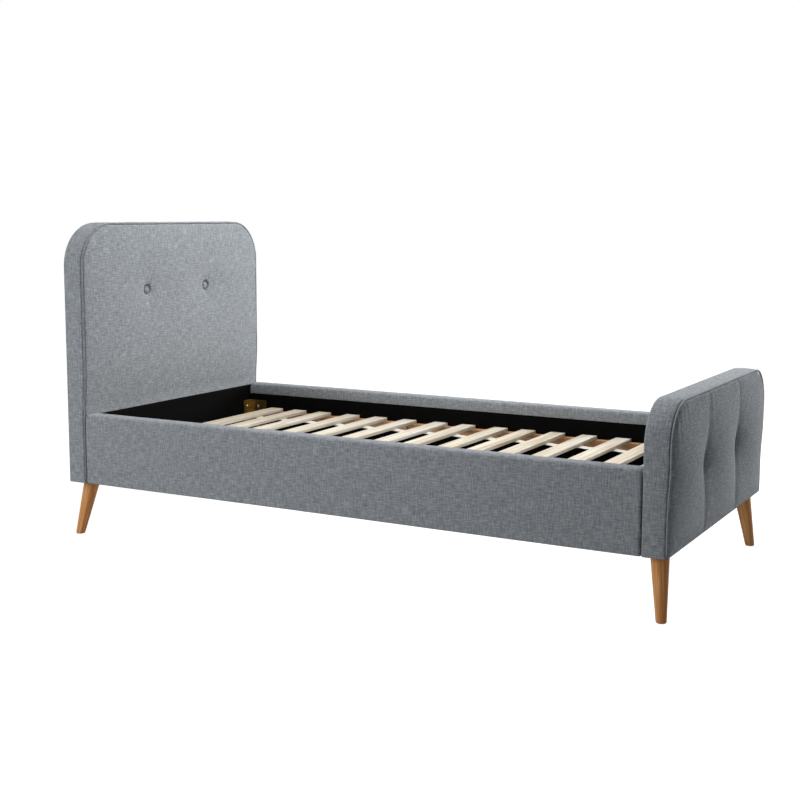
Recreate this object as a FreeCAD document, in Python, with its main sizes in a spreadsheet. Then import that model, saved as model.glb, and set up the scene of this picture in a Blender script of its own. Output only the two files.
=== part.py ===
"""Upholstered single bed for a 90 x 190 cm mattress, as a parametric FreeCAD document.

A padded headboard and a lower padded footboard stand on four splayed round legs. Two padded
side rails join them, and a loose slatted base lies on bearers inside the rails.

X runs along the bed from the headboard (-X) to the footboard (+X), Y across it, Z up.
The origin is on the floor, below the middle of the bed.
"""
import FreeCAD, Part
import math
import os
import Sketcher

Vector = FreeCAD.Vector

os.makedirs("parts", exist_ok=True)
doc = FreeCAD.newDocument("upholstered_bed")

# ---------------------------------------------------------------- driving dimensions, mm
DIMENSIONS = {
    "bed_length": 2060,
    "bed_width": 992,
    "clearance": 181,            # floor to the underside of boards and rails
    "fabric": 2,                 # covers and linings
    "edge_round": 5,             # rounding of the boards' padded edges
    "head_height": 1041,
    "head_thick": 75,
    "head_corner": 146,
    "head_foam": 20,
    "foot_height": 590,
    "foot_thick": 73,
    "foot_corner": 120,
    "foot_foam": 22,
    "wadding": 6,                # foam round the edges of the boards' timber
    "panel": 4,                  # hardboard skins of both boards
    "sill_top": 407,             # top of the boards' lower timber and of their black lining
    "member": 80,                # height of the top timbers
    "post": 95,                  # width of the upright timbers
    "rail_top": 413,
    "rail_thick": 50,
    "rail_foam": 8,
    "rail_corner": 8,
    "turn_down": 40,             # cover folded over the rail, down its inner face
    "bearer_top": 311,
    "bearer_high": 32,
    "bearer_deep": 26,
    "bearer_length": 1740,
    "slat_first": -824,          # centre of the slat nearest the headboard
    "slat_pitch": 117,
    "slat_wide": 54,
    "slat_thick": 12,
    "slat_round": 2,
    "slat_gap": 2,               # from each slat end to the rail lining
    "tape_wide": 38,
    "tape_thick": 1.5,
    "tape_centre": 285,
    "leg_top": 53,
    "leg_foot": 29,
    "foot_inset_end": 20,        # from the end of the bed to a foot's centre
    "foot_inset_side": 24.5,
    "splay_along": 22,           # how far a foot stands out beyond the top of its leg
    "splay_across": 43,
    "leg_bolt": 8,
    "leg_bolt_reach": 30,        # into the leg, and again into the timber above it
    "leg_nut": 12,
    "leg_nut_high": 18,
    "button_inset": 12,          # depth of the recess that a headboard button sits in
    "button_wide": 28,
    "button_high": 9,
    "button_spacing": 334,
    "head_button_level": 809,
    "tuft_inset": 17,
    "tuft_wide": 22,
    "tuft_level": 390,
    "recess_margin": 3,          # from a button's rim to the wall of its recess
    "bracket_plate": 3,
    "bracket_along": 80,         # flange on the rail
    "bracket_across": 40,        # flange on the board
    "bracket_high": 130,
    "bracket_top": 348,
    "bracket_bend": 4,
    "upper_screw": 323,
    "lower_screw": 243,
    "bracket_screw": 6,
    "bracket_screw_long": 42,
    "bracket_head": 13,
    "bracket_head_high": 4,
    "bracket_hole": 7,
    "bearer_screw": 4.5,
    "bearer_screw_long": 34,
    "bearer_head": 8,
    "bearer_head_high": 3,
    "bearer_sink": 9,            # counterbore that hides a bearer screw's head
    "bearer_sink_deep": 13,
    "bearer_screw_first": -605,
    "bearer_screw_pitch": 370,
}
SLAT_DRIFT = [0, -9, -15, -7, -5, 1, 12, 6, 15, 5, -3, -4, 0, 0, 0]   # mm off an even pitch
BEARER_SCREWS = 4                # in each bearer
SIDES = {"left": 1, "right": -1}                                      # +Y and -Y
ENDS = {"head": -1, "foot": 1}                                        # -X and +X
OVERCUT = 5                      # how far a cutting tool starts outside the face it enters

sheet = doc.addObject("Spreadsheet::Sheet", "Sizes")
for row, (alias, size) in enumerate(DIMENSIONS.items(), start=1):
    sheet.set(f"A{row}", alias)
    sheet.set(f"B{row}", str(size))
    sheet.setAlias(f"B{row}", alias)
doc.recompute()

nodes = []


def bound(formula):
    """A formula of plain dimension names, as an expression that reads them from the sheet."""
    words = []
    for word in formula.replace("(", " ( ").replace(")", " ) ").split():
        words.append(f"Sizes.{word}" if word in DIMENSIONS else word)
    return " ".join(words)


def number(formula):
    """The formula's value at the present dimensions."""
    return float(sheet.evalExpression(bound(formula)))


def keep(piece, name):
    """Name a finished piece of the bed and list it for export."""
    piece.Label = name
    nodes.append(piece)
    return piece


def place(piece, along="0", across="0", up="0"):
    """Bind a piece's position to formulas."""
    for axis, formula in zip("xyz", (along, across, up)):
        piece.setExpression(f"Placement.Base.{axis}", bound(formula))


# ---------------------------------------------------------------- solid builders
def outline(body, plane_role, corners):
    """Sketch a closed outline of level and upright lines.

    Each corner is (formula, formula, radius formula or None); a radius makes it an arc.
    """
    sketch = body.newObject("Sketcher::SketchObject", f"{body.Name}_outline")
    plane = next(f for f in body.Origin.OriginFeatures if f.Role == plane_role)
    sketch.AttachmentSupport = [(plane, "")]
    sketch.MapMode = "FlatFace"
    points = [Vector(number(a), number(b), 0) for a, b, radius in corners]
    count = len(points)
    reach = [number(radius) if radius else 0 for a, b, radius in corners]
    toward = [(points[(i + 1) % count] - points[i]).normalize() for i in range(count)]

    for i in range(count):
        after = (i + 1) % count
        start = points[i] + toward[i] * reach[i]
        end = points[after] - toward[i] * reach[after]
        sketch.addGeometry(Part.LineSegment(start, end), False)
        level = abs(toward[i].y) < 0.5
        sketch.addConstraint(Sketcher.Constraint("Horizontal" if level else "Vertical", i))
        kind = "DistanceY" if level else "DistanceX"
        value = start.y if level else start.x
        index = sketch.addConstraint(Sketcher.Constraint(kind, -1, 1, i, 1, value))
        sketch.renameConstraint(index, f"edge_{i}")
        sketch.setExpression(f"Constraints.edge_{i}", bound(corners[i][1 if level else 0]))

    for i in range(count):
        before = (i - 1) % count
        if not reach[i]:
            sketch.addConstraint(Sketcher.Constraint("Coincident", before, 2, i, 1))
            continue
        arrive = points[i] - toward[before] * reach[i]
        leave = points[i] + toward[i] * reach[i]
        centre = arrive + toward[i] * reach[i]
        middle = centre + (points[i] - centre).normalize() * reach[i]
        arc = sketch.addGeometry(Part.Arc(arrive, middle, leave), False)
        first = 1 if sketch.getPoint(arc, 1).distanceToPoint(arrive) < reach[i] / 10 else 2
        sketch.addConstraint(Sketcher.Constraint("Tangent", before, 2, arc, first))
        sketch.addConstraint(Sketcher.Constraint("Tangent", i, 1, arc, 3 - first))
        index = sketch.addConstraint(Sketcher.Constraint("Radius", arc, reach[i]))
        sketch.renameConstraint(index, f"round_{i}")
        sketch.setExpression(f"Constraints.round_{i}", bound(corners[i][2]))
    return sketch


def prism(name, plane_role, corners, length):
    """A body with one outline, padded along its plane's normal: +X, -Y or +Z."""
    body = doc.addObject("PartDesign::Body", name)
    profile = outline(body, plane_role, corners)
    pad = body.newObject("PartDesign::Pad", f"{name}_pad")
    pad.Profile = profile
    pad.setExpression("Length", bound(length))
    return body


def rectangle(a_low, a_high, b_low, b_high, radius=None):
    """Corners of a rectangle, for an outline."""
    return [(a_low, b_low, radius), (a_high, b_low, radius),
            (a_high, b_high, radius), (a_low, b_high, radius)]


def block(name, length, width, height):
    """A plain box with bound sizes."""
    box = doc.addObject("Part::Box", name)
    box.setExpression("Length", bound(length))
    box.setExpression("Width", bound(width))
    box.setExpression("Height", bound(height))
    return box


def cut(name, base, *tools):
    """The base less each tool in turn."""
    for step, tool in enumerate(tools):
        result = doc.addObject("Part::Cut", f"{name}_cut_{step}")
        result.Base = base
        result.Tool = tool
        base = result
    return base


def common(name, base, tool):
    """What two solids share."""
    result = doc.addObject("Part::Common", name)
    result.Base = base
    result.Tool = tool
    return result


def bores(name, diameter, depth, spots, lead=OVERCUT):
    """Cylinders that start a lead outside each spot and go to a depth along its direction."""
    tool = doc.addObject("Part::Compound", name)
    cylinders = []
    for index, (spot, direction) in enumerate(spots):
        cylinder = doc.addObject("Part::Cylinder", f"{name}_{index}")
        cylinder.setExpression("Radius", bound(f"( {diameter} ) / 2"))
        cylinder.setExpression("Height", bound(f"{depth} + {lead}"))
        turn = FreeCAD.Rotation(Vector(0, 0, 1), direction)
        cylinder.Placement = FreeCAD.Placement(spot - direction * lead, turn)
        cylinders.append(cylinder)
    tool.Links = cylinders
    return tool


def copies(name, pattern, spots):
    """Separate solids like the pattern, its +Z turned along each direction, as one node."""
    doc.recompute()
    shapes = []
    for spot, direction in spots:
        shape = pattern.Shape.copy()
        turn = FreeCAD.Rotation(Vector(0, 0, 1), direction)
        shape.Placement = FreeCAD.Placement(spot, turn)
        shapes.append(shape)
    group = doc.addObject("Part::Feature", name)
    group.Shape = Part.makeCompound(shapes)
    return keep(group, name)


def turned(name, profile):
    """A solid turned about Z from the (radius formula, height formula) points of its section."""
    body = doc.addObject("PartDesign::Body", name)
    sketch = body.newObject("Sketcher::SketchObject", f"{name}_profile")
    plane = next(f for f in body.Origin.OriginFeatures if f.Role == "XZ_Plane")
    sketch.AttachmentSupport = [(plane, "")]
    sketch.MapMode = "FlatFace"
    points = [Vector(number(a), number(b), 0) for a, b in profile]
    for i, point in enumerate(points):
        after = points[(i + 1) % len(points)]
        sketch.addGeometry(Part.LineSegment(point, after), False)
    for i in range(len(points)):
        before = (i - 1) % len(points)
        sketch.addConstraint(Sketcher.Constraint("Coincident", before, 2, i, 1))
        for kind, value, formula in (("DistanceX", points[i].x, profile[i][0]),
                                     ("DistanceY", points[i].y, profile[i][1])):
            index = sketch.addConstraint(Sketcher.Constraint(kind, -1, 1, i, 1, value))
            sketch.renameConstraint(index, f"{kind}_{i}")
            sketch.setExpression(f"Constraints.{kind}_{i}", bound(formula))
    spin = body.newObject("PartDesign::Revolution", f"{name}_turn")
    spin.Profile = sketch
    spin.ReferenceAxis = (sketch, ["V_Axis"])
    spin.Angle = 360
    return body


# ---------------------------------------------------------------- places that pieces share
HEAD_FACE = "( head_thick - bed_length / 2 )"          # inner face of the headboard, X
FOOT_FACE = "( bed_length / 2 - foot_thick )"          # inner face of the footboard, X
RAIL_FACE = "( bed_width / 2 - rail_thick )"           # inner face of a rail, |Y|
LEG_ALONG = "( bed_length / 2 - foot_inset_end - splay_along )"
LEG_ACROSS = "( bed_width / 2 - foot_inset_side - splay_across )"
UP = Vector(0, 0, 1)


def board_face(end):
    """X of a board's inner face."""
    return HEAD_FACE if end == "head" else FOOT_FACE


def bracket_screw_spots():
    """Where the corner bracket screws enter the inner faces, and which way they go."""
    spots = []
    for end, x_sign in ENDS.items():
        for y_sign in SIDES.values():
            for level in ("upper_screw", "lower_screw"):
                along = number(f"{board_face(end)} - {x_sign} * bracket_along / 2")
                across = number(f"{RAIL_FACE} - bracket_across / 2") * y_sign
                on_rail = Vector(along, number(RAIL_FACE) * y_sign, number(level))
                spots.append((on_rail, Vector(0, y_sign, 0)))
                on_board = Vector(number(board_face(end)), across, number(level))
                spots.append((on_board, Vector(x_sign, 0, 0)))
    return spots


def bearer_screw_spots():
    """Where the bearer screws enter the bearers' open faces, and which way they go."""
    spots = []
    for y_sign in SIDES.values():
        across = number(f"{RAIL_FACE} - bearer_deep") * y_sign
        for index in range(BEARER_SCREWS):
            along = number(f"bearer_screw_first + {index} * bearer_screw_pitch")
            spot = Vector(along, across, number("bearer_top - bearer_high / 2"))
            spots.append((spot, Vector(0, y_sign, 0)))
    return spots


def leg_spots(level):
    """The upright axes of the four leg bolts, at a height."""
    spots = []
    for x_sign in ENDS.values():
        for y_sign in SIDES.values():
            along = number(LEG_ALONG) * x_sign
            spots.append((Vector(along, number(LEG_ACROSS) * y_sign, number(level)), UP))
    return spots


def button_spots(end, depth):
    """Where the two buttons of a board sit, at a depth into the face that carries them."""
    level = "head_button_level" if end == "head" else "tuft_level"
    face = f"{HEAD_FACE} - {depth}" if end == "head" else f"bed_length / 2 - {depth}"
    half = number("button_spacing / 2")
    return [(Vector(number(face), side * half, number(level)), Vector(-1, 0, 0))
            for side in SIDES.values()]


bracket_pilots = bores("bracket_pilots", "bracket_screw",
                       "bracket_screw_long - bracket_plate", bracket_screw_spots())
bracket_holes = bores("bracket_holes", "bracket_hole", "fabric", bracket_screw_spots())
bearer_pilots = bores("bearer_pilots", "bearer_screw", "bearer_sink_deep + bearer_screw_long",
                      bearer_screw_spots())
bearer_sinks = bores("bearer_sinks", "bearer_sink", "bearer_sink_deep", bearer_screw_spots())
leg_bolt_bores = bores("leg_bolt_bores", "leg_bolt", "2 * leg_bolt_reach",
                       leg_spots("clearance - leg_bolt_reach"), lead=0)
leg_nut_bores = bores("leg_nut_bores", "leg_nut", "leg_nut_high", leg_spots("clearance"))


# ---------------------------------------------------------------- headboard and footboard
def board_outline(height, corner, inset, low):
    """The board's front view: square below, rounded at the top, inset all round."""
    half = f"( bed_width / 2 - {inset} )"
    top = f"{height} - {inset}"
    radius = f"{corner} - {inset}"
    return [(f"-1 * {half}", low, None), (half, low, None),
            (half, top, radius), (f"-1 * {half}", top, radius)]


def round_face_edges(body, low_edge, radius):
    """Round the edges of both faces of a board, except along its open underside."""
    doc.recompute()
    pad = body.Tip
    names = []
    for index, edge in enumerate(pad.Shape.Edges, start=1):
        box = edge.BoundBox
        if box.XLength < 0.01 and box.ZMax > low_edge + 1:
            names.append(f"Edge{index}")
    fillet = body.newObject("PartDesign::Fillet", f"{body.Name}_edges")
    fillet.Base = (pad, names)
    fillet.setExpression("Radius", bound(radius))


def make_board(end):
    """One padded board: timber frame, hardboard skins, foam, fabric, lining and buttons."""
    height = f"{end}_height"
    thick = f"{end}_thick"
    corner = f"{end}_corner"
    foam = f"{end}_foam"
    title = f"{end}board"
    core = "( fabric + wadding )"
    lining_side = f"( {thick} - fabric )"
    if end == "head":                     # depths from the outer face
        frame_near = "( fabric + panel )"
        frame_far = f"( {thick} - fabric - {foam} - panel )"
        sill_near = "fabric"
    else:
        frame_near = f"( fabric + {foam} + panel )"
        frame_far = f"( {lining_side} - panel )"
        sill_near = f"( fabric + {foam} )"

    def layer_x(near, far):
        """X of the low side of a layer between two depths."""
        if end == "head":
            return f"{near} - bed_length / 2"
        return f"bed_length / 2 - {far}"

    def slab(name, inset, low, near, far):
        """A layer with the board's outline."""
        body = prism(name, "YZ_Plane", board_outline(height, corner, inset, low),
                     f"{far} - {near}")
        place(body, along=layer_x(near, far))
        return body

    def strip(name, low, high, near, far, left, right):
        """A plain box between two depths, two heights and two sides."""
        box = block(name, f"{far} - {near}", f"( {left} ) - ( {right} )", f"{high} - ( {low} )")
        place(box, along=layer_x(near, far), across=right, up=low)
        return box

    core_side = ("bed_width / 2 - fabric - wadding", "fabric + wadding - bed_width / 2")
    lining_side_edges = ("bed_width / 2 - fabric", "fabric - bed_width / 2")

    # Timber: a thick sill that takes the legs and brackets, two posts and a top rail.
    sill = strip(f"{title}_sill_blank", "clearance", "sill_top", sill_near, lining_side,
                 *core_side)
    keep(cut(f"{title}_sill", sill, bracket_pilots, leg_bolt_bores, leg_nut_bores),
         f"{title}_bottom_rail")
    frame = slab(f"{title}_frame_field", core, "sill_top", frame_near, frame_far)
    top_low = f"{height} - fabric - wadding - member"
    for side, y_sign in SIDES.items():
        outer = "bed_width / 2"
        inner = "bed_width / 2 - fabric - wadding - post"
        left, right = (outer, inner) if y_sign > 0 else (f"-1 * ( {inner} )", f"-1 * {outer}")
        reach = strip(f"{title}_{side}_post_field", "sill_top", top_low,
                      frame_near, frame_far, left, right)
        keep(common(f"{title}_{side}_post_wood", frame, reach), f"{title}_{side}_post")
    reach = strip(f"{title}_top_field", top_low, height, frame_near, frame_far, *core_side)
    keep(common(f"{title}_top_wood", frame, reach), f"{title}_top_rail")

    # Hardboard skins on both sides of the posts.
    keep(slab(f"{title}_skin_out", core, "sill_top", f"( {frame_near} - panel )", frame_near),
         f"{title}_outer_panel")
    keep(slab(f"{title}_skin_in", core, "sill_top", frame_far, f"( {frame_far} + panel )"),
         f"{title}_inner_panel")

    # Foam over one face and round the edges, recessed where the buttons pull it in.
    button = "button" if end == "head" else "tuft"
    recess = bores(f"{title}_recess", f"{button}_wide + 2 * recess_margin", f"{button}_inset",
                   button_spots(end, "0"))
    pad = slab(f"{title}_foam_blank", "fabric", "clearance", "fabric", lining_side)
    frame_room = slab(f"{title}_frame_room", core, "clearance - fabric",
                      f"( {frame_near} - panel )", f"( {frame_far} + panel )")
    sill_room = strip(f"{title}_sill_room", "clearance - fabric", "sill_top",
                      sill_near, lining_side, *core_side)
    keep(cut(f"{title}_foam_pad", pad, frame_room, sill_room, recess), f"{title}_foam")

    # Fabric cover, open underneath, with the black lining let into its inner face.
    cover = slab(f"{title}_cover_blank", "0", "clearance", "0", thick)
    round_face_edges(cover, number("clearance"), "edge_round")
    cavity = slab(f"{title}_cavity", "fabric", "clearance - fabric", "fabric", lining_side)
    notch = strip(f"{title}_notch", "clearance - fabric", "sill_top", lining_side, thick,
                  *lining_side_edges)
    keep(cut(f"{title}_cover_shell", cover, cavity, notch, recess), f"{title}_cover")
    lining = strip(f"{title}_lining_blank", "clearance", "sill_top", lining_side, thick,
                   *lining_side_edges)
    keep(cut(f"{title}_lining_sheet", lining, bracket_pilots), f"{title}_lining")

    # Two covered buttons: low domes that sit at the bottom of their recesses.
    half = f"{button}_wide / 2"
    crown = "button_high"
    dome = turned(f"{title}_button_dome",
                  [("0", "0"), (half, "0"), (half, f"{crown} * 0.35"),
                   (f"{half} * 0.8", f"{crown} * 0.8"), (f"{half} * 0.4", f"{crown} * 0.97"),
                   ("0", crown)])
    outward = Vector(1, 0, 0)
    seats = [(spot, outward) for spot, inward in button_spots(end, f"{button}_inset")]
    copies(f"{title}_buttons", dome, seats)


for end_name in ENDS:
    make_board(end_name)


# ---------------------------------------------------------------- side rails and bearers
def make_rail(side, y_sign):
    """One padded side rail: board, foam, cover folded over its top, and black lining."""
    length = f"{FOOT_FACE} - {HEAD_FACE}"
    inner_round = "rail_corner - fabric"

    def across(depth):
        """Y at a depth from the rail's outer face."""
        return f"{y_sign} * ( bed_width / 2 - {depth} )"

    def run(name, corners):
        """A section carried from the headboard to the footboard."""
        body = prism(name, "YZ_Plane", corners, length)
        place(body, along=HEAD_FACE)
        return body

    foam_back = "( fabric + rail_foam )"
    lining_back = "( rail_thick - fabric )"
    low, top, under = "clearance", "rail_top", "rail_top - fabric"
    wood_top = f"{under} - rail_foam"
    wood = run(f"{side}_rail_blank", rectangle(
        across(foam_back), across(lining_back), low, wood_top))
    keep(cut(f"{side}_rail_wood", wood, bracket_pilots, bearer_pilots), f"{side}_side_rail")
    keep(run(f"{side}_rail_pad", [
        (across("fabric"), low, None), (across("fabric"), under, inner_round),
        (across(lining_back), under, inner_round), (across(lining_back), wood_top, None),
        (across(foam_back), wood_top, None), (across(foam_back), low, None)]),
        f"{side}_rail_foam")
    fold = "rail_top - turn_down"
    keep(run(f"{side}_rail_fabric", [
        (across("0"), low, None), (across("0"), top, "rail_corner"),
        (across("rail_thick"), top, "rail_corner"), (across("rail_thick"), fold, None),
        (across(lining_back), fold, None), (across(lining_back), under, inner_round),
        (across("fabric"), under, inner_round), (across("fabric"), low, None)]),
        f"{side}_rail_cover")
    lining = run(f"{side}_lining_blank", rectangle(
        across("rail_thick"), across(lining_back), low, fold))
    keep(cut(f"{side}_lining_sheet", lining, bracket_pilots, bearer_pilots),
         f"{side}_rail_lining")

    face = f"{y_sign} * {RAIL_FACE}"
    bearer = prism(f"{side}_bearer_blank", "YZ_Plane", rectangle(
        face, f"{y_sign} * ( {RAIL_FACE} - bearer_deep )",
        "bearer_top - bearer_high", "bearer_top"), "bearer_length")
    place(bearer, along="-1 * bearer_length / 2")
    keep(cut(f"{side}_bearer_wood", bearer, bearer_pilots, bearer_sinks), f"{side}_bearer")


for side_name, side_sign in SIDES.items():
    make_rail(side_name, side_sign)


# ---------------------------------------------------------------- slatted base
def make_slats():
    """Fifteen loose pine slats, spaced a little unevenly, joined by two tapes."""
    half = "slat_wide / 2"
    half_span = f"( {RAIL_FACE} - slat_gap )"
    for index, drift in enumerate(SLAT_DRIFT):
        name = f"slat_{index + 1:02d}"
        slat = prism(name, "XZ_Plane", rectangle(
            f"-1 * {half}", half, "0", "slat_thick", "slat_round"), f"2 * {half_span}")
        place(slat, along=f"slat_first + {index} * slat_pitch + {drift}",
              across=half_span, up="bearer_top")
        keep(slat, name)
    last = len(SLAT_DRIFT) - 1
    for side, y_sign in SIDES.items():
        tape = block(f"{side}_tape_strip", f"{last} * slat_pitch + slat_wide",
                     "tape_wide", "tape_thick")
        place(tape, along=f"slat_first - {half}",
              across=f"{y_sign} * tape_centre - tape_wide / 2", up="bearer_top - tape_thick")
        keep(tape, f"{side}_slat_tape")


make_slats()


# ---------------------------------------------------------------- legs
def make_legs():
    """Four round tapered legs, splayed towards the corners and cut level at both ends."""
    drop = number("clearance")
    spread = math.hypot(number("splay_along"), number("splay_across"))
    slope = math.hypot(spread, drop)
    taper = (number("leg_top") - number("leg_foot")) / 2 / slope
    spare = number("leg_top") / 2          # the cone runs past both cuts
    for end, x_sign in ENDS.items():
        for side, y_sign in SIDES.items():
            name = f"{end}_{side}_leg"
            foot = Vector(x_sign * number("bed_length / 2 - foot_inset_end"),
                          y_sign * number("bed_width / 2 - foot_inset_side"), 0)
            lean = Vector(-x_sign * number("splay_along"), -y_sign * number("splay_across"), drop)
            lean.normalize()
            cone = doc.addObject("Part::Cone", f"{name}_cone")
            cone.setExpression("Radius1", bound(f"leg_foot / 2 - {spare * taper}"))
            cone.setExpression("Radius2", bound(f"leg_top / 2 + {spare * taper}"))
            cone.Height = slope + 2 * spare
            turn = FreeCAD.Rotation(UP, lean)
            cone.Placement = FreeCAD.Placement(foot - lean * spare, turn)
            field = block(f"{name}_field", "4 * leg_top", "4 * leg_top", "clearance")
            field.Placement.Base = foot - Vector(1, 1, 0) * number("2 * leg_top")
            leg = common(f"{name}_wood", cone, field)
            keep(cut(name, leg, leg_bolt_bores), name)

    bolt = doc.addObject("Part::Cylinder", "leg_bolt_pattern")
    bolt.setExpression("Radius", bound("leg_bolt / 2"))
    bolt.setExpression("Height", bound("2 * leg_bolt_reach"))
    copies("leg_bolts", bolt, leg_spots("clearance - leg_bolt_reach"))
    sleeve = turned("leg_nut_pattern", [
        ("leg_bolt / 2", "0"), ("leg_nut / 2", "0"),
        ("leg_nut / 2", "leg_nut_high"), ("leg_bolt / 2", "leg_nut_high")])
    copies("leg_nuts", sleeve, leg_spots("clearance"))


make_legs()


# ---------------------------------------------------------------- corner brackets and screws
def make_brackets():
    """Four bent steel angles that tie the rails to the boards, and their screws."""
    for end, x_sign in ENDS.items():
        for side, y_sign in SIDES.items():
            name = f"{end}_{side}_bracket"

            def x_at(depth):
                """X at a distance from the board."""
                return f"{board_face(end)} - {x_sign} * {depth}"

            def y_at(depth):
                """Y at a distance from the rail."""
                return f"{y_sign} * ( {RAIL_FACE} - {depth} )"

            angle = prism(f"{name}_blank", "XY_Plane", [
                (x_at("0"), y_at("0"), "bracket_bend"),
                (x_at("bracket_along"), y_at("0"), None),
                (x_at("bracket_along"), y_at("bracket_plate"), None),
                (x_at("bracket_plate"), y_at("bracket_plate"), "bracket_bend - bracket_plate"),
                (x_at("bracket_plate"), y_at("bracket_across"), None),
                (x_at("0"), y_at("bracket_across"), None)], "bracket_high")
            place(angle, up="bracket_top - bracket_high")
            keep(cut(name, angle, bracket_holes), name)


def screw_pattern(name, shank, long, head, head_high):
    """A screw along +Z whose head ends at the origin and stands behind it."""
    return turned(name, [
        ("0", f"-1 * {head_high}"), (f"{head} * 0.3", f"-1 * {head_high}"),
        (f"{head} / 2", f"-0.35 * {head_high}"), (f"{head} / 2", "0"),
        (f"{shank} / 2", "0"), (f"{shank} / 2", f"{long} - {shank} / 2"), ("0", long)])


make_brackets()
bracket_screw = screw_pattern("bracket_screw_pattern", "bracket_screw",
                              "bracket_screw_long", "bracket_head", "bracket_head_high")
on_plate = [(spot - direction * number("bracket_plate"), direction)
            for spot, direction in bracket_screw_spots()]
copies("bracket_screws", bracket_screw, on_plate)
bearer_screw = screw_pattern("bearer_screw_pattern", "bearer_screw",
                             "bearer_screw_long", "bearer_head", "bearer_head_high")
sunk = [(spot + direction * number("bearer_sink_deep"), direction)
        for spot, direction in bearer_screw_spots()]
copies("bearer_screws", bearer_screw, sunk)

# ---------------------------------------------------------------- checks and export
doc.recompute()
for item in doc.Objects:
    faults = {"Invalid", "Error"} & set(item.State)
    if faults:
        raise RuntimeError(f"{item.Label}: {faults}")
for node in nodes:
    if node.Shape.isNull() or not node.Shape.isValid() or not node.Shape.Solids:
        raise RuntimeError(f"{node.Label} has no valid solid")
for node in nodes:
    node.Shape.exportStep(f"parts/{node.Label}.step")
print(f"{len(nodes)} nodes, {sum(len(node.Shape.Solids) for node in nodes)} solids")
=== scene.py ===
import math

import bmesh
import bpy
import numpy as np
from mathutils import Matrix, Vector


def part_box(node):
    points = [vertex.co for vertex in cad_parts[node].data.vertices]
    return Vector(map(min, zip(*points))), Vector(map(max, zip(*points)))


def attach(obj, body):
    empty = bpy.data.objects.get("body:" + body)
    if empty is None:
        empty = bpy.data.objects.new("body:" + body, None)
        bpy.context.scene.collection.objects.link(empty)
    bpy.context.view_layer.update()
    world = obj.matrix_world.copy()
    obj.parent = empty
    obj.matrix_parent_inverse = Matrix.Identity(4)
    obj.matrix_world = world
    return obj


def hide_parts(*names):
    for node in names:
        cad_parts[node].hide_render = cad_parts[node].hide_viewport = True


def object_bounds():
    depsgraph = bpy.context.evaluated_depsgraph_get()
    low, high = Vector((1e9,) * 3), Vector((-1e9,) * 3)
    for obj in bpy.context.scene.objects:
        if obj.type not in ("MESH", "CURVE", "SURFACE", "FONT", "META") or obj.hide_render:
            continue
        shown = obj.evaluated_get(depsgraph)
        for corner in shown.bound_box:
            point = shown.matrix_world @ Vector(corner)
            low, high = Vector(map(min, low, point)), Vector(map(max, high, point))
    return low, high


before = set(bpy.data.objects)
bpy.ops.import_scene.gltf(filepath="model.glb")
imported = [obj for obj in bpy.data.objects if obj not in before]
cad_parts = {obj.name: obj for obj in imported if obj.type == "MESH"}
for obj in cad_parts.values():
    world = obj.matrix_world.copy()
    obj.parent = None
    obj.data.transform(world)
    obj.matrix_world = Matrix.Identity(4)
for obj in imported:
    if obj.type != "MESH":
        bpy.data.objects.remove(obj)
cad_low, cad_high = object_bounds()

MM = 0.001
HALF_WIDTH = cad_high.y  # outer faces of the rails, |Y|
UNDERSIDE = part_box("headboard_cover")[0].z - 0.5 * MM  # cloth just below the timber
SILL_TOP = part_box("headboard_lining")[1].z  # grey cloth above, black below
LINING_HALF = HALF_WIDTH - 22 * MM  # the lining's recess in a board
RAIL_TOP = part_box("left_rail_cover")[1].z
SEAM_INSET = 5.2 * MM  # from a board's side to its face seam
RAIL_THICK = 50 * MM
SLAT_PITCH = 117 * MM


# ---------------- material nodes
def node(tree, kind, settings=None, **inputs):
    """Add a shader node. Inputs that are sockets are linked, and other values are set."""
    made = tree.nodes.new(f"ShaderNode{kind}")
    for key, value in (settings or {}).items():
        setattr(made, key, value)
    for key, value in inputs.items():
        place = int(key[1:]) if key[0] == "i" and key[1:].isdigit() else key.replace("_", " ")
        socket = made.inputs[place]
        if isinstance(value, bpy.types.NodeSocket):
            tree.links.new(value, socket)
        else:
            socket.default_value = value
    return made


def calc(tree, operation, first, second=0.0):
    """A Math node's result."""
    return node(tree, "Math", {"operation": operation}, i0=first, i1=second).outputs[0]


def mix(tree, factor, first, second, blend="MIX"):
    """A colour mix of two colours or sockets."""
    made = node(tree, "Mix", {"data_type": "RGBA", "blend_type": blend}, i0=factor,
                i6=first, i7=second)
    return made.outputs[2]


def ramp(tree, factor, *stops):
    """A colour ramp through (position, colour) stops."""
    made = node(tree, "ValToRGB", Fac=factor)
    elements = made.color_ramp.elements
    while len(elements) < len(stops):
        elements.new(0.5)
    for element, (position, colour) in zip(elements, stops):
        element.position = position
        element.color = colour
    return made.outputs[0]


def stretched(tree, coordinates, scale):
    """Texture coordinates scaled by different amounts along each axis."""
    return node(tree, "Mapping", Vector=coordinates, Scale=scale).outputs[0]


def noise(tree, coordinates, scale=1.0, detail=2.0, roughness=0.5, distortion=0.0):
    """A noise value from 0 to 1."""
    made = node(tree, "TexNoise", Vector=coordinates, Scale=scale, Detail=detail,
                Roughness=roughness, Distortion=distortion)
    return made.outputs[0]


def span(tree, value, low, high, to_low=0.0, to_high=1.0):
    """A value's range moved to another range, and clamped."""
    made = node(tree, "MapRange", Value=value, From_Min=low, From_Max=high,
                To_Min=to_low, To_Max=to_high)
    return made.outputs[0]


def srgb(red, green, blue):
    """A linear colour from 8-bit sRGB values."""
    parts = [v / 255 for v in (red, green, blue)]
    return tuple(p / 12.92 if p <= 0.04045 else ((p + 0.055) / 1.055) ** 2.4
                 for p in parts) + (1.0,)


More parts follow.
